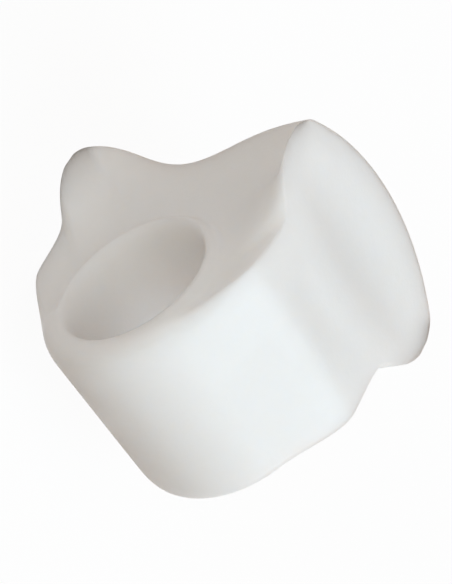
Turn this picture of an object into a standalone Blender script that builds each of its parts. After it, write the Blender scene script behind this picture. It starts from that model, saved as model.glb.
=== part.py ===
"""Toe separator: a thick toe ring and a two-flanged spacer, moulded in one piece of soft clear gel.

The part lies on its lower flange. X runs from the toe ring to the spacer's saddle, Y along the toe's bore and
Z from the lower flange to the upper one. The origin is in the middle of the part's box, where it touches the
surface that it lies on.

The wall round the bore is drawn as a closed loop of points, its section: outer side, edge, end, lip, mouth
and bore, then the same to the far end. The section is carried round the bore in steps. At each step its outer
side lies on the ring, the web, a flange or the saddle, and a Subdivision Surface rounds the cage that the
loops make. A block then trims both flanges flat, as the faces of a mould do.
"""

import math

import bmesh
import bpy
from mathutils import Matrix, Vector

# Toe ring. Its bore lies off the ring's middle, and its wall is measured where both middles line up
BORE_RADIUS = 0.00705
BORE_OFFSET = -0.0007
RING_WALL = 0.00375
RING_LENGTH = 0.0206
RING_END_ROUNDING = 0.0022

# Lip round the bore's mouth. The ring's ends round off from it, and the web's end is set back behind it
LIP_WIDTH = 0.00135
LIP_RISE = 0.0001
LIP_FOOT = 0.0006
LIP_LEAVES_RING = 0.0032
LIP_MERGE = 0.0020
MOUTH_ROUNDING = 0.0009

# Web, the solid shoulder that leaves the ring along its tangent and carries the flanges
WEB_LENGTH = 0.0206
WEB_LEAVES_RING = math.radians(126)
WEB_MEETS_SHOULDER = math.radians(8)
WEB_SHOULDER = 0.0014
WEB_SHOULDER_DROP = 0.0005
WEB_EDGE_ROUNDING = 0.0012
WEB_RECESS = 0.0014
WEB_SIDE_WAIST = 0.0002

# Flanges: two ovals, one above and one below the ring. A groove parts each from the web
FLANGE_SPAN = 0.0275
FLANGE_LENGTH = 0.0288
FLANGE_WIDTH = 0.0152
FLANGE_CENTRE = 0.0125
FLANGE_ROUNDING = 0.0011
FLANGE_THICKNESS = 0.0044
FLANGE_GROOVE = 0.0006
FLANGE_DISH = 0.0010
LAND_TRIM = 0.0002

# Saddle between the flanges, where the next toe lies. Its waist is a little below the middle
SADDLE_WALL = 0.00815
SADDLE_OFFSET = -0.00255

# Steps round the bore, from the ring's free side to the saddle, on each half
STEPS_ON_RING = 6
STEPS_ON_WEB = 5
STEPS_ON_FLANGE = 8
STEPS_ON_SADDLE = 4
FLANGE_START = STEPS_ON_RING + STEPS_ON_WEB
FLANGE_END = FLANGE_START + STEPS_ON_FLANGE
HALF_STEPS = FLANGE_END + STEPS_ON_SADDLE

# Points across the ring's rounded end, and the angle on its oval at which they start
END_POINTS = 5
END_STARTS = math.radians(27)

# Where the flange's lines of points end on its oval rim, as angles seen from above
RIM_AT_NOTCH = math.radians(136)
RIM_AT_SADDLE = math.radians(64)

RING_RADIUS = BORE_RADIUS + RING_WALL
HALF_HEIGHT = FLANGE_SPAN / 2 + LAND_TRIM
BORE_TURN = math.tau / (2 * HALF_STEPS)
RING_TURN = (math.pi - WEB_LEAVES_RING) / STEPS_ON_RING


def mix(a, b, share):
    """The value that lies this share of the way from a to b."""
    return a + (b - a) * share


def ease(share):
    """A share from 0 to 1 that starts and ends gently."""
    return (1 - math.cos(math.pi * share)) / 2


def on_circle(radius, angle, turn):
    """A cage point on a circle, set out far enough that the rounded surface has this radius."""
    pull = (4 + 2 * math.cos(turn)) / 6
    return Vector((math.cos(angle), math.sin(angle))) * radius / pull


def rim_reach(y):
    """How far the flange's oval rim reaches from the bore's axis, at a place along the bore."""
    across = 1 - (y / (FLANGE_LENGTH / 2)) ** 2
    return FLANGE_CENTRE + FLANGE_WIDTH / 2 * math.sqrt(max(across, 0))


def ring_side(step):
    """The ring's round side: its place across the bore as a function of y, and its half length."""
    point = on_circle(RING_RADIUS, math.pi - step * RING_TURN, RING_TURN)
    return lambda y: point, RING_LENGTH / 2


def web_side(step):
    """The web's side, a curve from the ring's tangent to its shoulder, a little narrower at mid length."""
    share = (step - STEPS_ON_RING) / STEPS_ON_WEB
    start = on_circle(RING_RADIUS, WEB_LEAVES_RING, RING_TURN)
    end = Vector((WEB_SHOULDER, HALF_HEIGHT - WEB_SHOULDER_DROP))
    along = Vector((math.sin(WEB_LEAVES_RING), -math.cos(WEB_LEAVES_RING)))
    rise = math.tan(WEB_MEETS_SHOULDER)
    run = (end.y - start.y - rise * (end.x - start.x)) / (along.y - rise * along.x)
    bend = start + along * run
    point = start * (1 - share) ** 2 + bend * 2 * share * (1 - share) + end * share ** 2
    waist = WEB_SIDE_WAIST * math.sin(math.pi * share)

    def place(y):
        return Vector((point.x, point.y - waist * (1 - (2 * y / WEB_LENGTH) ** 2)))

    return place, mix(RING_LENGTH, WEB_LENGTH, share) / 2


def flange_side(step):
    """The flange's face: one line lies in the groove, the next on the rim, the rest cross a dish."""
    dished = max(step - FLANGE_START - 2, 0) / (STEPS_ON_FLANGE - 3)
    along_rim = max(step - FLANGE_START - 1, 0) / (STEPS_ON_FLANGE - 1)
    angle = mix(RIM_AT_NOTCH, RIM_AT_SADDLE, along_rim)
    rim_x = FLANGE_CENTRE + FLANGE_WIDTH / 2 * math.cos(angle)
    rim_y = FLANGE_LENGTH / 2 * math.sin(angle)
    inner_reach = rim_reach(0) - FLANGE_ROUNDING
    middle_x = mix(WEB_SHOULDER, inner_reach, (step - FLANGE_START) / (STEPS_ON_FLANGE - 1))
    depth = FLANGE_DISH * math.sin(math.pi * dished) ** 2
    if step == FLANGE_START + 1:
        depth = FLANGE_GROOVE

    def place(y):
        if step == FLANGE_END:
            return Vector((rim_reach(y), HALF_HEIGHT))
        towards_rim = (y / rim_y) ** 2
        return Vector((mix(middle_x, rim_x, towards_rim), HALF_HEIGHT - depth * (1 - towards_rim)))

    return place, rim_y


def saddle_side(step, offset):
    """The saddle, which flares from its waist to the flanges' rims."""
    share = (HALF_STEPS - step) / STEPS_ON_SADDLE
    waist_x = BORE_OFFSET + BORE_RADIUS + SADDLE_WALL
    rim_y = FLANGE_LENGTH / 2 * math.sin(RIM_AT_SADDLE)
    height = HALF_HEIGHT * share + offset * (1 - share ** 2)

    def place(y):
        return Vector((mix(waist_x, rim_reach(y), ease(share)), height))

    return place, mix(WEB_LENGTH / 2, rim_y, ease(share))


def side(step, offset):
    """The outer side at a step, as a function of y, its half length and the rounding of its edge."""
    if step < STEPS_ON_RING:
        return *ring_side(step), RING_END_ROUNDING
    if step <= FLANGE_START:
        return *web_side(step), WEB_EDGE_ROUNDING
    if step <= FLANGE_END:
        return *flange_side(step), FLANGE_ROUNDING
    return *saddle_side(step, offset), FLANGE_ROUNDING


def round_the_bore(radius, angle, y):
    """A cage point round the bore's own axis, at a place along it."""
    point = on_circle(radius, angle, BORE_TURN)
    return Vector((point.x + BORE_OFFSET, y, point.y))


def rounded_end(angle):
    """The ring's end in a section: a quarter of an oval from the outer side to the lip's outer edge."""
    inner = round_the_bore(BORE_RADIUS + LIP_WIDTH, angle, RING_LENGTH / 2)
    outer = on_circle(RING_RADIUS, angle, BORE_TURN)
    points = []
    for place in range(END_POINTS):
        turn = mix(END_STARTS, math.pi / 2, place / (END_POINTS - 1))
        point = inner.lerp(Vector((outer.x, inner.y, outer.y)), math.cos(turn))
        point.y -= RING_END_ROUNDING * (1 - math.sin(turn))
        points.append(point)
    return points


def recessed_end(angle, corner, half_length, rounding):
    """The web's or a flange's end in a section: its edge, the face set back behind it, and the lip's foot."""
    face = RING_LENGTH / 2 - WEB_RECESS
    foot = round_the_bore(BORE_RADIUS + LIP_WIDTH, angle, face + WEB_RECESS / 2)
    edge = Vector((corner.x, half_length, corner.y))
    gap = Vector((foot.x - edge.x, foot.z - edge.z)).length
    points = [edge]
    for reach, depth in (
        (min(rounding, gap * 0.3), 0.1),
        (min(FLANGE_THICKNESS, gap * 0.6), 0.7),
        (max(gap - LIP_FOOT, gap * 0.85), 1),
    ):
        point = edge.lerp(foot, reach / gap)
        point.y = mix(half_length, face, depth)
        points.append(point)
    return points + [foot], gap


def mouth(angle):
    """The lip's crest and its rounding into the bore."""
    crest = RING_LENGTH / 2
    for across, y in ((0.6, crest + LIP_RISE), (0.2, crest - LIP_RISE), (0, crest - MOUTH_ROUNDING)):
        yield round_the_bore(BORE_RADIUS + LIP_WIDTH * across, angle, y)


def near_section(step, offset):
    """The near half of the section at a step, from the middle of the outer side to the middle of the bore."""
    place, half_length, rounding = side(step, offset)
    angle = math.pi - step * BORE_TURN
    loop = []
    for y in (0, half_length / 3, half_length * 2 / 3, half_length - rounding):
        point = place(y)
        loop.append(Vector((point.x, y, point.y)))
    recessed, gap = recessed_end(angle, place(half_length), half_length, rounding)
    clear_of_ring = min(max(gap - LIP_LEAVES_RING, 0) / LIP_MERGE, 1)
    for round_point, web_point in zip(rounded_end(angle), recessed):
        loop.append(round_point.lerp(web_point, ease(clear_of_ring)))
    loop.extend(mouth(angle))
    for y in (RING_LENGTH / 4, 0):
        loop.append(round_the_bore(BORE_RADIUS, angle, y))
    return loop


def whole_section(step):
    """The closed section at a step round the whole bore: near half, far half, below the middle mirrored."""
    below = step > HALF_STEPS
    if below:
        near = near_section(2 * HALF_STEPS - step, -SADDLE_OFFSET)
    else:
        near = near_section(step, SADDLE_OFFSET)
    far = [(x, -y, z) for x, y, z in near[-2:0:-1]]
    flip = -1 if below else 1
    return [(x, y, flip * z) for x, y, z in near + far]


def make_cage():
    """The cage of the whole part, with each section joined to the next round the bore."""
    cage = bmesh.new()
    loops = [[cage.verts.new(point) for point in whole_section(step)] for step in range(2 * HALF_STEPS)]
    for one, other in zip(loops, loops[1:] + loops[:1]):
        for near_a, far_a, near_b, far_b in zip(one, one[1:] + one[:1], other, other[1:] + other[:1]):
            cage.faces.new((near_a, far_a, far_b, near_b))
    bmesh.ops.recalc_face_normals(cage, faces=cage.faces)
    mesh = bpy.data.meshes.new("toe_separator")
    cage.to_mesh(mesh)
    cage.free()
    return mesh


def add_object(name, mesh):
    """Puts a mesh in the scene as an object."""
    made = bpy.data.objects.new(name, mesh)
    bpy.context.scene.collection.objects.link(made)
    return made


def add_trim_block():
    """A block as high as the flanges' span and wider than the part, outside which the gel is trimmed."""
    shape = bmesh.new()
    bmesh.ops.create_cube(shape, size=1)
    room = 2 * (rim_reach(0) + FLANGE_LENGTH)
    bmesh.ops.scale(shape, vec=(room, room, FLANGE_SPAN), verts=shape.verts)
    mesh = bpy.data.meshes.new("trim_block")
    shape.to_mesh(mesh)
    shape.free()
    block = add_object("trim_block", mesh)
    block.hide_render = True
    block.display_type = "WIRE"
    return block


def settle_on_origin(part, block):
    """Moves the part so that the origin is in the middle of its box, on the surface it lies on."""
    bpy.context.view_layer.update()
    shaped = part.evaluated_get(bpy.context.evaluated_depsgraph_get())
    xs = [corner[0] for corner in shaped.bound_box]
    shift = Matrix.Translation((-(min(xs) + max(xs)) / 2, 0, FLANGE_SPAN / 2))
    part.data.transform(shift)
    block.data.transform(shift)


def gel_material():
    """Soft clear gel with a milky look."""
    material = bpy.data.materials.new("milky_gel")
    material.use_nodes = True
    shader = material.node_tree.nodes["Principled BSDF"]
    shader.inputs["Base Color"].default_value = (0.78, 0.77, 0.76, 1)
    shader.inputs["Roughness"].default_value = 0.45
    shader.inputs["Metallic"].default_value = 0
    shader.inputs["Subsurface Weight"].default_value = 0.5
    shader.inputs["Subsurface Scale"].default_value = 0.002
    return material


def clear_scene():
    """Removes every object that the scene starts with."""
    for obj in list(bpy.data.objects):
        bpy.data.objects.remove(obj, do_unlink=True)


def build():
    """Makes the part."""
    clear_scene()
    part = add_object("toe_separator", make_cage())
    part.data.materials.append(gel_material())
    part.data.shade_smooth()
    rounding = part.modifiers.new("rounding", "SUBSURF")
    rounding.levels = rounding.render_levels = 1
    block = add_trim_block()
    trim = part.modifiers.new("flat_lands", "BOOLEAN")
    trim.operation = "INTERSECT"
    trim.solver = "EXACT"
    trim.object = block
    settle_on_origin(part, block)


build()
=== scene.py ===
"""Looks of a toe separator: a thick toe ring and a two-flanged spacer, moulded in one piece of gel.

The gel form is one closed surface. A section of the wall round the bore is carried round the bore's axis, its
outer side lies in turn on the ring, the web, a flange and the saddle, and a cubic spline rounds the whole.
Lengths are in metres and angles in radians. While the form is worked out, the ring's axis is the y axis and
z = 0 is the middle between the flanges; the last step settles it into the frame's box.
"""

import logging
import math
from dataclasses import dataclass, field
from enum import Enum
from typing import Any

import bpy
import numpy as np
from mathutils import Matrix, Vector


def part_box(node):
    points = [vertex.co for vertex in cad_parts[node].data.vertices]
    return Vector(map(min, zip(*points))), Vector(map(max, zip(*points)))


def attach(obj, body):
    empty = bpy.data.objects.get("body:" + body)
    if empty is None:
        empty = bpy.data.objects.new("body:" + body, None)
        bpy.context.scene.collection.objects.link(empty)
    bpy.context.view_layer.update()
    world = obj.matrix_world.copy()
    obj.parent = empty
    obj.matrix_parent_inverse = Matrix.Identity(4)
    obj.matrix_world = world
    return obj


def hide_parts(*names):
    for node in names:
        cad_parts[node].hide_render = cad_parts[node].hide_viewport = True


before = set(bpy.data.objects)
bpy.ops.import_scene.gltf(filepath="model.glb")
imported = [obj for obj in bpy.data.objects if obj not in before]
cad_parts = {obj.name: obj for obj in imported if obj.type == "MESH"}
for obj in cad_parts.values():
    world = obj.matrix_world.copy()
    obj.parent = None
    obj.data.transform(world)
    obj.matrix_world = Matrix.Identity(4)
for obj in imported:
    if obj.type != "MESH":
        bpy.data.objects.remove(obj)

LOG = logging.getLogger("toe_separator")
NODE = "toe_separator"


class Half(Enum):
    """The half of the part above the ring's axis, or the half below it."""

    UPPER = 1
    LOWER = -1


def mix(a: Any, b: Any, share: Any) -> Any:
    """The value that lies this share of the way from a to b."""
    return a + (b - a) * share


def ease(share: np.ndarray) -> np.ndarray:
    """A share from 0 to 1 that starts and ends gently: half of 1 minus the cosine of a half turn times it."""
    return (1 - np.cos(math.pi * share)) / 2


def on_circle(radius: float, angle: np.ndarray, turn: float) -> np.ndarray:
    """Cage points round the ring's axis whose spline has this radius.

    A uniform cubic spline pulls a ring of points in by (4 + 2 cos turn) / 6, and each point is set out by as
    much.

    Args:
        radius: the radius of the rounded surface.
        angle: the angle of each point, from +X towards +Z.
        turn: the angle between one point and the next.

    Returns:
        One row of x and z for each angle.
    """
    reach = radius * 6 / (4 + 2 * math.cos(turn))
    return np.stack([np.cos(angle) * reach, np.sin(angle) * reach], axis=-1)


def rows_along(half_length: np.ndarray, rounding: np.ndarray) -> np.ndarray:
    """Where the outer side's rows lie along the bore: 0, a third, two thirds, before the edge, at the edge.

    Args:
        half_length: half the length of the side at each step.
        rounding: how far from its edge the side starts to round, at each step.

    Returns:
        Five values of y for each step.
    """
    return np.stack(
        [0 * half_length, half_length / 3, half_length * 2 / 3, half_length - rounding, half_length], axis=-1
    )


@dataclass(frozen=True)
class Side:
    """The outer side of some steps: its points, by step and row, and its edge's rounding at each step."""

    points: np.ndarray
    rounding: np.ndarray


@dataclass(frozen=True)
class ToeRing:
    """The round ring that a toe goes through."""

    bore_radius: float = 0.00705
    bore_offset: float = -0.00075
    wall: float = 0.00375
    length: float = 0.0206
    end_rounding: float = 0.0022
    end_points: int = 5
    end_starts: float = math.radians(27)
    steps: int = 6
    web_leaves: float = math.radians(131)

    @property
    def radius(self) -> float:
        """Radius of the ring's outside."""
        return self.bore_radius + self.wall

    @property
    def turn(self) -> float:
        """Angle from one step to the next."""
        return (math.pi - self.web_leaves) / self.steps

    def side(self) -> Side:
        """The ring's round side: each step lies on a circle, at half a turn minus step times turn."""
        step = np.arange(self.steps)
        place = on_circle(self.radius, math.pi - step * self.turn, self.turn)
        rounding = np.full(self.steps, self.end_rounding)
        y = rows_along(np.full(self.steps, self.length / 2), rounding)
        return Side(np.stack([place[:, :1] + 0 * y, y, place[:, 1:] + 0 * y], axis=-1), rounding)

    def round_the_bore(self, out: float, angle: np.ndarray, turn: float, y: float) -> np.ndarray:
        """Cage points round the bore's own axis, this far out from the bore, that all lie at one place y."""
        place = on_circle(self.bore_radius + out, angle, turn)
        return np.stack([place[:, 0] + self.bore_offset, np.full(len(place), y), place[:, 1]], axis=-1)

    def rounded_end(self, lip_width: float, angle: np.ndarray, turn: float) -> np.ndarray:
        """The ring's end: points on a quarter of an oval, from the outer side to the lip's outer edge.

        At an angle a on the oval the point lies a share cos a of the way out from the lip to the ring's
        outside, and it is nearer the middle by the rounding times 1 minus sin a.

        Args:
            lip_width: how wide the lip round the bore is.
            angle: the angle of each step round the bore.
            turn: the angle from one step to the next.

        Returns:
            The end's points for each step.
        """
        across = np.linspace(self.end_starts, math.pi / 2, self.end_points)[None, :, None]
        inner = self.round_the_bore(lip_width, angle, turn, self.length / 2)[:, None]
        rim = on_circle(self.radius, angle, turn)
        outer = np.stack([rim[:, 0], np.full(len(rim), self.length / 2), rim[:, 1]], axis=-1)[:, None]
        drop = np.array([0, self.end_rounding, 0]) * (1 - np.sin(across))
        return mix(inner, outer, np.cos(across)) - drop


@dataclass(frozen=True)
class Web:
    """The solid shoulder that leaves the ring along its tangent and carries the flanges."""

    length: float = 0.0198
    meets_shoulder: float = math.radians(1)
    shoulder: float = 0.0011
    shoulder_drop: float = 0.0005
    edge_rounding: float = 0.0006
    recess: float = 0.0013
    side_waist: float = 0.0002
    fullness: float = 0.81
    edge_eases: float = 0.6
    steps: int = 5

    def side(self, ring: ToeRing, half_height: float) -> Side:
        """The web's side.

        A curve of the third degree runs from the ring's tangent to the shoulder, under the flange's plane.
        The tangents of its two ends meet at a bend, and the fullness says what share of the way to that bend
        its inner control points lie. At mid length the side is lower by the waist times the sine of a half
        turn along the curve. The edge eases from the ring's rounding to its own over the first part of the
        curve.

        Args:
            ring: the ring that the web leaves.
            half_height: the height of the flange's plane above the ring's axis.

        Returns:
            The side from the ring's tangent to the shoulder, both included.
        """
        share = (np.arange(self.steps + 1) / self.steps)[:, None]
        start = on_circle(ring.radius, np.array(ring.web_leaves), ring.turn)
        end = np.array([self.shoulder, half_height - self.shoulder_drop])
        along = np.array([math.sin(ring.web_leaves), -math.cos(ring.web_leaves)])
        rise = math.tan(self.meets_shoulder)
        run = (end[1] - start[1] - rise * (end[0] - start[0])) / (along[1] - rise * along[0])
        bend = start + along * run
        inner = mix(start, bend, self.fullness) * (1 - share) + mix(end, bend, self.fullness) * share
        curve = start * (1 - share) ** 3 + inner * 3 * share * (1 - share) + end * share**3
        crisp = np.clip(share[:, 0] / self.edge_eases, 0, 1)
        rounding = mix(ring.end_rounding, self.edge_rounding, crisp)
        y = rows_along(mix(ring.length, self.length, share[:, 0]) / 2, rounding)
        waist = self.side_waist * np.sin(math.pi * share) * (1 - (2 * y / self.length) ** 2)
        return Side(np.stack([curve[:, :1] + 0 * y, y, curve[:, 1:] - waist], axis=-1), rounding)


@dataclass(frozen=True)
class Flange:
    """One of the two oval flanges, longer along the bore than the ring is."""

    span: float = 0.0275
    length: float = 0.0288
    width: float = 0.0152
    centre: float = 0.0125
    edge_rounding: float = 0.0007
    thickness: float = 0.0032
    groove: float = 0.0008
    dish: float = 0.0010
    trim: float = 0.0002
    rim_at_notch: float = math.radians(140.3)
    rim_at_saddle: float = math.radians(64)
    steps: int = 8

    @property
    def half_height(self) -> float:
        """Height of the cage's flange plane above the ring's axis, before the land is trimmed."""
        return self.span / 2 + self.trim

    def reach(self, y: np.ndarray) -> np.ndarray:
        """How far the oval rim reaches from the ring's axis.

        That is the centre plus half the width times the root of 1 minus the square of y over half the length.
        """
        across = np.clip(1 - (y / (self.length / 2)) ** 2, 0, None)
        return self.centre + self.width / 2 * np.sqrt(across)

    def side(self, shoulder: float) -> Side:
        """The flange's outer face.

        Each line starts at mid length between the shoulder and the rim, and moves with the square of y
        towards its own point on the oval rim. The first line lies in the groove beside the web, the second on
        the rim, and the rest cross a dish as deep as the square of a sine. Groove and dish are deepest at mid
        length.

        Args:
            shoulder: where the web's side meets the flange's plane.

        Returns:
            The face after the shoulder, up to the rim's far end.
        """
        step = np.arange(1, self.steps + 1)
        dished = np.clip((step - 2) / (self.steps - 3), 0, 1)
        angle = mix(self.rim_at_notch, self.rim_at_saddle, (step - 1) / (self.steps - 1))
        rim_x = (self.centre + self.width / 2 * np.cos(angle))[:, None]
        rim_y = self.length / 2 * np.sin(angle)
        inner = float(self.reach(np.array(0.0))) - self.edge_rounding
        middle_x = mix(shoulder, inner, step / (self.steps - 1))[:, None]
        depth = np.where(step == 1, self.groove, self.dish * np.sin(math.pi * dished) ** 2)[:, None]
        rounding = np.full(self.steps, self.edge_rounding)
        y = rows_along(rim_y, rounding)
        towards_rim = (y / rim_y[:, None]) ** 2
        last = (step == self.steps)[:, None]
        x = np.where(last, self.reach(y), mix(middle_x, rim_x, towards_rim))
        z = np.where(last, self.half_height, self.half_height - depth * (1 - towards_rim))
        return Side(np.stack([x, y, z], axis=-1), rounding)


@dataclass(frozen=True)
class Saddle:
    """The hollow between the flanges, where the next toe lies. Its waist is a little below the middle."""

    wall: float = 0.00815
    offset: float = -0.00255
    length: float = 0.0206
    steps: int = 4

    def side(self, ring: ToeRing, flange: Flange, half: Half) -> Side:
        """The saddle's side, which flares with an eased share from its waist to the flange's oval rim.

        Args:
            ring: the ring whose bore the waist is measured from.
            flange: the flange whose rim the saddle ends on.
            half: the half that the side belongs to; the waist's offset turns round in the lower one.

        Returns:
            The side after the rim, up to the waist.
        """
        share = 1 - np.arange(1, self.steps + 1) / self.steps
        eased = ease(share)
        rim_y = flange.length / 2 * math.sin(flange.rim_at_saddle)
        rounding = np.full(self.steps, flange.edge_rounding)
        y = rows_along(mix(self.length / 2, rim_y, eased), rounding)
        height = flange.half_height * share + self.offset * half.value * (1 - share**2)
        x = mix(ring.bore_offset + ring.bore_radius + self.wall, flange.reach(y), eased[:, None])
        return Side(np.stack([x, y, height[:, None] + 0 * y], axis=-1), rounding)


@dataclass(frozen=True)
class Lip:
    """The narrow lip that stands round the bore's mouth, where the web's end is set back from it.

    Its crest and mouth rows lie at a share of its width out from the bore. The rows of the end face keep
    within or beyond a share of the gap from edge to lip where that gap is narrow, and each has sunk by its
    own share.
    """

    width: float = 0.00135
    rise: float = 0.0001
    foot: float = 0.0006
    leaves_ring: float = 0.0037
    merge: float = 0.0020
    mouth_rounding: float = 0.0017
    crest_at: float = 0.6
    mouth_at: float = 0.2
    edge_within: float = 0.3
    edge_sinks: float = 0.1
    flank_within: float = 0.6
    flank_sinks: float = 0.7
    foot_beyond: float = 0.85

    def end(
        self, ring: ToeRing, web: Web, flange: Flange, outer: Side, angle: np.ndarray, turn: float
    ) -> np.ndarray:
        """The part's end in each section: the side's edge, the face set back behind it, and the lip.

        The face runs straight across from the edge to the lip's foot and sinks by the recess. Where the gap
        from edge to lip is narrow, an eased share takes the ring's rounded end in its place. The lip's crest
        and its rounding into the bore are the same all round.

        Args:
            ring: the ring whose mouth the lip stands round.
            web: the web whose end is set back.
            flange: the flange whose thickness the end has behind its rim.
            outer: the outer side of all steps.
            angle: the angle of each step round the bore.
            turn: the angle from one step to the next.

        Returns:
            The end's points for each step.
        """
        crest = ring.length / 2
        foot = ring.round_the_bore(self.width, angle, turn, crest - web.recess / 2)
        edge = outer.points[:, -1]
        gap = np.hypot(foot[:, 0] - edge[:, 0], foot[:, 2] - edge[:, 2])

        def across(reach: np.ndarray, depth: float) -> np.ndarray:
            """Points of the end face this far from the edge, this share of the way down to the recess."""
            place = mix(edge, foot, (reach / gap)[:, None])
            place[:, 1] = mix(edge[:, 1], crest - web.recess, depth)
            return place

        recessed = [
            edge,
            across(np.minimum(outer.rounding, gap * self.edge_within), self.edge_sinks),
            across(np.minimum(flange.thickness, gap * self.flank_within), self.flank_sinks),
            across(np.maximum(gap - self.foot, gap * self.foot_beyond), 1.0),
            foot,
        ]
        mouth = [
            ring.round_the_bore(self.width * share, angle, turn, y)
            for share, y in (
                (self.crest_at, crest + self.rise),
                (self.mouth_at, crest - self.mouth_at * self.mouth_rounding),
                (0, crest - self.mouth_rounding),
            )
        ]
        clear_of_ring = ease(np.clip((gap - self.leaves_ring) / self.merge, 0, 1))[:, None, None]
        rounded = ring.rounded_end(self.width, angle, turn)
        face = mix(rounded, np.stack(recessed, axis=1), clear_of_ring)
        return np.concatenate([face, np.stack(mouth, axis=1)], axis=1)


@dataclass(frozen=True)
class Spline:
    """A closed uniform cubic spline through a grid of cage points."""

    round_bore: int = 8
    round_wall: int = 8

    @staticmethod
    def refine(points: np.ndarray, samples: int, axis: int) -> np.ndarray:
        """Samples the spline along one axis of the grid, which closes on itself.

        At share t of a step the four nearest points weigh (1 - t)^3, 3t^3 - 6t^2 + 4, -3t^3 + 3t^2 + 3t + 1
        and t^3, each over 6.

        Args:
            points: the grid of cage points.
            samples: how many samples each step gets.
            axis: the grid's axis to refine.

        Returns:
            The grid with samples times as many points along that axis.
        """
        t = np.arange(samples) / samples
        weight = np.stack([(1 - t) ** 3, 3 * t**3 - 6 * t**2 + 4, -3 * t**3 + 3 * t**2 + 3 * t + 1, t**3]) / 6
        cage = np.moveaxis(points, axis, 0)
        near = np.stack([np.roll(cage, 1 - j, 0) for j in range(4)])
        fine = np.einsum("jt,jn...->nt...", weight, near).reshape((-1,) + cage.shape[1:])
        return np.moveaxis(fine, 0, axis)

    def surface(self, cage: np.ndarray) -> np.ndarray:
        """The spline surface of the whole cage."""
        return self.refine(self.refine(cage, self.round_bore, 0), self.round_wall, 1)


class Socket:
    """An output of a node, or a plain number, that takes part in shader arithmetic."""

    def __init__(self, tree: "NodeTree", link: Any) -> None:
        """Keeps the output or number, and the tree that new nodes go into."""
        self.tree = tree
        self.link = link

    def _math(self, operation: str, *values: Any) -> "Socket":
        """The result of one Math node."""
        return self.tree.node("ShaderNodeMath", {"operation": operation}, dict(enumerate(values)))

    def __add__(self, other: Any) -> "Socket":
        """This plus other."""
        return self._math("ADD", self, other)

    __radd__ = __add__

    def __mul__(self, other: Any) -> "Socket":
        """This times other."""
        return self._math("MULTIPLY", self, other)

    __rmul__ = __mul__

    def __sub__(self, other: Any) -> "Socket":
        """This minus other."""
        return self._math("SUBTRACT", self, other)

    def __rsub__(self, other: Any) -> "Socket":
        """Other minus this."""
        return self._math("SUBTRACT", other, self)

    def band(self, low: float, high: float) -> "Socket":
        """A smooth share that is 0 at low and 1 at high."""
        settings = {"interpolation_type": "SMOOTHSTEP"}
        values = {"Value": self, "From Min": low, "From Max": high}
        return self.tree.node("ShaderNodeMapRange", settings, values)


class NodeTree:
    """A shader's nodes, each made by one method from its type, its settings and its inputs."""

    def __init__(self, tree: bpy.types.NodeTree) -> None:
        """Starts with an empty tree."""
        self.tree = tree
        tree.nodes.clear()

    def node(
        self,
        kind: str,
        settings: dict[str, Any] | None = None,
        inputs: dict[Any, Any] | None = None,
        output: Any = 0,
    ) -> Socket:
        """Adds a node.

        Args:
            kind: the node's type.
            settings: its properties, set before its inputs.
            inputs: a number, colour or Socket for each input, by name or place.
            output: the name or place of the output that is wanted.

        Returns:
            That output, or the node itself where it has none.
        """
        made = self.tree.nodes.new(kind)
        for name, value in (settings or {}).items():
            setattr(made, name, value)
        for key, value in (inputs or {}).items():
            if isinstance(value, Socket):
                self.tree.links.new(value.link, made.inputs[key])
            else:
                made.inputs[key].default_value = value
        return Socket(self, made.outputs[output] if made.outputs else made)

    def noise(self, place: Socket, size: float, detail: float, roughness: float) -> Socket:
        """Adds noise.

        Args:
            place: where the noise is read.
            size: the size of its largest grains.
            detail: how many times finer grains are added.
            roughness: how strong the finer grains are.

        Returns:
            The noise, from 0 to 1.
        """
        grain = {"Vector": place, "Scale": 1 / size, "Detail": detail, "Roughness": roughness}
        return self.node("ShaderNodeTexNoise", {}, grain)

    def colour_mix(self, share: Any, under: Any, over: Any) -> Socket:
        """Lays one colour over another.

        Args:
            share: how much of the upper colour shows.
            under: the lower colour.
            over: the upper colour.

        Returns:
            The mixed colour.
        """
        return self.node("ShaderNodeMix", {"data_type": "RGBA"}, {0: share, 6: under, 7: over}, output=2)


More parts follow.
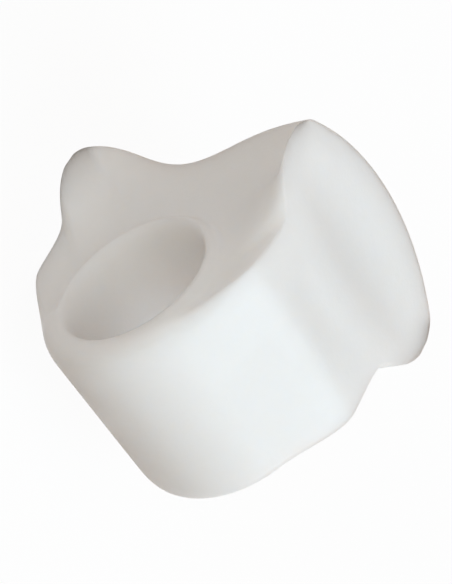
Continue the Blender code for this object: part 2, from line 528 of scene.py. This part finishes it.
@dataclass(frozen=True)
class MilkyGel:
    """Soft translucent gel: slightly cloudy inside, satin outside, and red light goes a little deeper."""

    clear: tuple[float, float, float, float] = (0.935, 0.932, 0.930, 1)
    cloudy: tuple[float, float, float, float] = (0.922, 0.920, 0.918, 1)
    roughness: float = 0.42
    scatter: float = 1.0
    scatter_depth: float = 0.0030
    scatter_tint: tuple[float, float, float] = (1.0, 0.95, 0.9)
    refraction: float = 1.41
    forward: float = 0.3
    cloud_size: float = 0.006
    cloud_edges: tuple[float, float] = (0.35, 0.65)
    cloud_dulls: float = 0.08
    skin_size: float = 0.0006
    skin_depth: float = 0.00003
    skin_shows: float = 0.6
    skin_dulls: float = 0.06

    def material(self) -> bpy.types.Material:
        """Makes the gel's material from two scales of noise in object coordinates.

        Returns:
            The material.
        """
        made = bpy.data.materials.new("milky_gel")
        made.use_nodes = True
        tree = NodeTree(made.node_tree)
        place = tree.node("ShaderNodeTexCoord", output="Object")
        cloud = tree.noise(place, self.cloud_size, detail=3.0, roughness=0.55).band(*self.cloud_edges)
        skin = tree.noise(place, self.skin_size, detail=2.0, roughness=0.5)
        dullness = self.cloud_dulls * (cloud - 0.5) + self.skin_dulls * (skin - 0.5)
        relief = {"Strength": self.skin_shows, "Distance": self.skin_depth, "Height": skin}
        shader = tree.node(
            "ShaderNodeBsdfPrincipled",
            {"subsurface_method": "RANDOM_WALK"},
            {
                "Base Color": tree.colour_mix(cloud, self.clear, self.cloudy),
                "Roughness": self.roughness + dullness,
                "IOR": self.refraction,
                "Subsurface Weight": self.scatter,
                "Subsurface Radius": self.scatter_tint,
                "Subsurface Scale": self.scatter_depth,
                "Subsurface Anisotropy": self.forward,
                "Normal": tree.node("ShaderNodeBump", {}, relief),
            },
        )
        tree.node("ShaderNodeOutputMaterial", {}, {"Surface": shader})
        return made


@dataclass(frozen=True)
class GelMoulding:
    """The whole part: ring, web, flanges and saddle in one gel surface.

    The lower half has a web and a flange of its own, which differ a little from the upper ones.
    """

    ring: ToeRing = field(default_factory=ToeRing)
    web: Web = field(default_factory=Web)
    flange: Flange = field(default_factory=Flange)
    web_below: Web = Web(
        length=0.0206, meets_shoulder=math.radians(8), shoulder=0.0014, fullness=2 / 3
    )
    flange_below: Flange = Flange(rim_at_notch=math.radians(136))
    saddle: Saddle = field(default_factory=Saddle)
    lip: Lip = field(default_factory=Lip)
    spline: Spline = field(default_factory=Spline)
    finish: MilkyGel = field(default_factory=MilkyGel)
    land_softness: float = 0.00012

    @property
    def half_steps(self) -> int:
        """Steps from the ring's free side to the middle of the saddle."""
        return self.ring.steps + self.web.steps + self.flange.steps + self.saddle.steps

    def near_quarter(self, half: Half) -> np.ndarray:
        """The cage's near quarter: from the outer side's middle, round the near end, to the bore's middle.

        The outer side comes from the ring, web, flange and saddle in turn, then come the end and the bore.

        Args:
            half: the half that the quarter belongs to.

        Returns:
            One row of 14 points for each step.
        """
        ring = self.ring
        upper = half is Half.UPPER
        web, flange = (self.web, self.flange) if upper else (self.web_below, self.flange_below)
        sides = [
            ring.side(),
            web.side(ring, flange.half_height),
            flange.side(web.shoulder),
            self.saddle.side(ring, flange, half),
        ]
        points = np.concatenate([side.points for side in sides])
        outer = Side(points, np.concatenate([side.rounding for side in sides]))
        turn = math.pi / self.half_steps
        angle = math.pi - np.arange(self.half_steps + 1) * turn
        end = self.lip.end(ring, web, flange, outer, angle, turn)
        bore = [ring.round_the_bore(0.0, angle, turn, y) for y in (ring.length / 4, 0.0)]
        return np.concatenate([outer.points[:, :-1], end, np.stack(bore, axis=1)], axis=1)

    def cage(self) -> np.ndarray:
        """The whole cage: the upper half, then the lower one mirrored in z, and each section mirrored in y.

        Returns:
            A grid of points that closes on itself both round the bore and round the wall.
        """
        upper = self.near_quarter(Half.UPPER)
        lower = self.near_quarter(Half.LOWER)[-2:0:-1] * np.array([1, 1, -1])
        near = np.concatenate([upper, lower])
        far = near[:, -2:0:-1] * np.array([1, -1, 1])
        return np.concatenate([near, far], axis=1)

    def trimmed(self, surface: np.ndarray) -> np.ndarray:
        """Takes the flanges' lands down to their flat plane, with a soft bend where the flat begins.

        The depth d under the plane becomes half of d plus the root of d squared plus the softness squared.

        Args:
            surface: the spline surface.

        Returns:
            The surface with flat lands.
        """
        depth = self.flange.span / 2 - np.abs(surface[..., 2])
        soft = (depth + np.sqrt(depth**2 + self.land_softness**2)) / 2
        height = np.sign(surface[..., 2]) * (self.flange.span / 2 - soft)
        return np.stack([surface[..., 0], surface[..., 1], height], axis=-1)

    def settled(self, surface: np.ndarray) -> np.ndarray:
        """Moves the surface so that its box is centred on the frame's node, and keeps it inside that box.

        Args:
            surface: the surface round the ring's axis.

        Returns:
            The surface in the frame.
        """
        low, high = (np.array(corner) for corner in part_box(NODE))
        reach = surface[..., 0]
        middle = (reach.min() + reach.max()) / 2
        shift = np.array([(low[0] + high[0]) / 2 - middle, 0, self.flange.span / 2])
        return np.clip(surface + shift, low, high)

    def mesh(self) -> bpy.types.Mesh:
        """Puts the surface into a mesh of quads, each between two neighbours both ways round.

        Returns:
            The mesh, smooth shaded and closed.
        """
        surface = self.settled(self.trimmed(self.spline.surface(self.cage())))
        rows, columns = surface.shape[:2]
        index = np.arange(rows * columns).reshape(rows, columns)
        ahead, beside = np.roll(index, -1, 0), np.roll(index, -1, 1)
        both = np.roll(ahead, -1, 1)
        quads = np.stack([index, ahead, both, beside], axis=-1).reshape(-1, 4)
        made = bpy.data.meshes.new("gel_moulding")
        made.from_pydata(surface.reshape(-1, 3).tolist(), [], quads.tolist())
        made.polygons.foreach_set("use_smooth", np.ones(len(quads), dtype=bool))
        made.update()
        return made

    def build(self) -> bpy.types.Object:
        """Makes the piece, gives it its finish and lets it stand for the frame's node.

        Returns:
            The piece.
        """
        piece = bpy.data.objects.new("gel_moulding", self.mesh())
        bpy.context.scene.collection.objects.link(piece)
        piece.data.materials.append(self.finish.material())
        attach(piece, "root")
        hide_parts(NODE)
        return piece


@dataclass(frozen=True)
class PaleFloor:
    """The plain pale floor under the part, which the camera sees as white with the part's soft shadow."""

    half_size: float = 1.5
    bounce: tuple[float, float, float, float] = (0.28, 0.255, 0.23, 1)
    white: tuple[float, float, float, float] = (1, 1, 1, 1)
    shaded: tuple[float, float, float, float] = (0.9, 0.9, 0.9, 1)
    shadow_share: float = 0.06

    def material(self) -> bpy.types.Material:
        """Makes the paper: the part gets an even grey bounce from it, and the camera sees it nearly white.

        Returns:
            The material.
        """
        made = bpy.data.materials.new("pale_paper")
        made.use_nodes = True
        tree = NodeTree(made.node_tree)
        rays = tree.node("ShaderNodeLightPath", output="Is Camera Ray")
        shiny = tree.node("ShaderNodeLightPath", output="Is Glossy Ray")
        through = tree.node("ShaderNodeLightPath", output="Is Transmission Ray")
        seen = tree.node("ShaderNodeMath", {"operation": "MAXIMUM"}, {0: rays, 1: shiny})
        seen = tree.node("ShaderNodeMath", {"operation": "MAXIMUM"}, {0: seen, 1: through})
        bounce = tree.node("ShaderNodeEmission", {}, {"Color": self.bounce, "Strength": 1.0})
        white = tree.node("ShaderNodeEmission", {}, {"Color": self.white, "Strength": 1.0})
        shaded = tree.node("ShaderNodeBsdfDiffuse", {}, {"Color": self.shaded})
        paper = tree.node("ShaderNodeMixShader", {}, {0: self.shadow_share, 1: white, 2: shaded})
        surface = tree.node("ShaderNodeMixShader", {}, {0: seen, 1: bounce, 2: paper})
        tree.node("ShaderNodeOutputMaterial", {}, {"Surface": surface})
        return made

    def build(self) -> bpy.types.Object:
        """Lays the floor under the part.

        Returns:
            The floor.
        """
        size = self.half_size
        made = bpy.data.meshes.new("pale_floor")
        corners = [(-size, -size, 0), (size, -size, 0), (size, size, 0), (-size, size, 0)]
        made.from_pydata(corners, [], [(0, 1, 2, 3)])
        floor = bpy.data.objects.new("pale_floor", made)
        bpy.context.scene.collection.objects.link(floor)
        made.materials.append(self.material())
        return floor


@dataclass(frozen=True)
class Softbox:
    """A wide and distant lamp, which reaches every side of the part evenly."""

    name: str
    towards: tuple[float, float, float]
    level: tuple[float, float, float]
    spread: float = math.radians(40)

    def build(self) -> bpy.types.Object:
        """Hangs the lamp so that a white card square to it takes this level of red, green and blue.

        A card under a strength of E gives back E over pi, so the strength is pi times the level.

        Returns:
            The lamp.
        """
        lamp = bpy.data.lights.new(self.name, "SUN")
        lamp.angle = self.spread
        lamp.color = self.level
        lamp.energy = math.pi
        hung = bpy.data.objects.new(self.name, lamp)
        bpy.context.scene.collection.objects.link(hung)
        hung.rotation_mode = "QUATERNION"
        hung.rotation_quaternion = Vector(self.towards).normalized().to_track_quat("Z", "Y")
        return hung


@dataclass(frozen=True)
class Studio:
    """The room's soft light, the lamps and the white that the camera sees behind everything."""

    room: tuple[float, float, float, float] = (0.36, 0.235, 0.145, 1)
    white: tuple[float, float, float, float] = (1, 1, 1, 1)
    lamps: tuple[Softbox, ...] = (
        Softbox("key", (-0.33, -0.55, 0.77), (0.214, 0.336, 0.412)),
        Softbox("top", (-0.14, 0.09, 0.99), (0.145, 0.168, 0.188)),
        Softbox("end_fill", (-0.27, 0.95, 0.13), (0.310, 0.290, 0.280)),
        Softbox("end_top", (0.06, 0.86, 0.50), (0.0, 0.042, 0.073)),
        Softbox("free_side", (-0.72, -0.56, 0.41), (0.035, 0.045, 0.050)),
        Softbox("far_end", (-0.28, -0.89, 0.36), (0.217, 0.171, 0.150)),
        Softbox("front", (-0.55, 0.54, 0.63), (0.030, 0.070, 0.077)),
    )

    def build(self) -> None:
        """Sets the world's light and hangs the lamps."""
        world = bpy.data.worlds.new("studio")
        world.use_nodes = True
        bpy.context.scene.world = world
        tree = NodeTree(world.node_tree)
        seen = tree.node("ShaderNodeLightPath", output="Is Camera Ray")
        room = tree.node("ShaderNodeBackground", {}, {"Color": self.room, "Strength": 1.0})
        white = tree.node("ShaderNodeBackground", {}, {"Color": self.white, "Strength": 1.0})
        sky = tree.node("ShaderNodeMixShader", {}, {0: seen, 1: room, 2: white})
        tree.node("ShaderNodeOutputWorld", {}, {"Surface": sky})
        for lamp in self.lamps:
            LOG.info("%s hung", lamp.build().name)
        bpy.context.scene.view_settings.view_transform = "Standard"


@dataclass(frozen=True)
class ViewPoint:
    """The photograph's camera: close to the part, above it, and rolled so that up is to the right."""

    place: tuple[float, float, float] = (-0.088571, 0.089927, 0.118787)
    right: tuple[float, float, float] = (0.41599, -0.47793, 0.77365)
    up: tuple[float, float, float] = (0.72282, 0.69001, 0.03760)
    back: tuple[float, float, float] = (-0.55180, 0.54357, 0.63250)
    lens: float = 106.35

    def build(self) -> bpy.types.Object:
        """Sets up the camera.

        Returns:
            The camera.
        """
        data = bpy.data.cameras.new("photo_camera")
        data.sensor_width = 36.0
        data.lens = self.lens
        data.clip_start = 0.001
        data.clip_end = 10.0
        camera = bpy.data.objects.new("photo_camera", data)
        bpy.context.scene.collection.objects.link(camera)
        turned = Matrix((self.right, self.up, self.back)).transposed().to_4x4()
        camera.matrix_world = Matrix.Translation(self.place) @ turned
        bpy.context.scene.camera = camera
        return camera


def main() -> None:
    """Builds the part's looks, the floor, the light and the camera."""
    logging.basicConfig(level=logging.INFO, format="%(name)s: %(message)s")
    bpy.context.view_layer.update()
    piece = GelMoulding().build()
    LOG.info("%s: %d quads", piece.name, len(piece.data.polygons))
    floor = PaleFloor().build()
    LOG.info("%s laid", floor.name)
    Studio().build()
    camera = ViewPoint().build()
    LOG.info("%s at %s", camera.name, tuple(round(value, 4) for value in camera.location))
    bpy.context.view_layer.update()


if __name__ == "__main__":
    main()
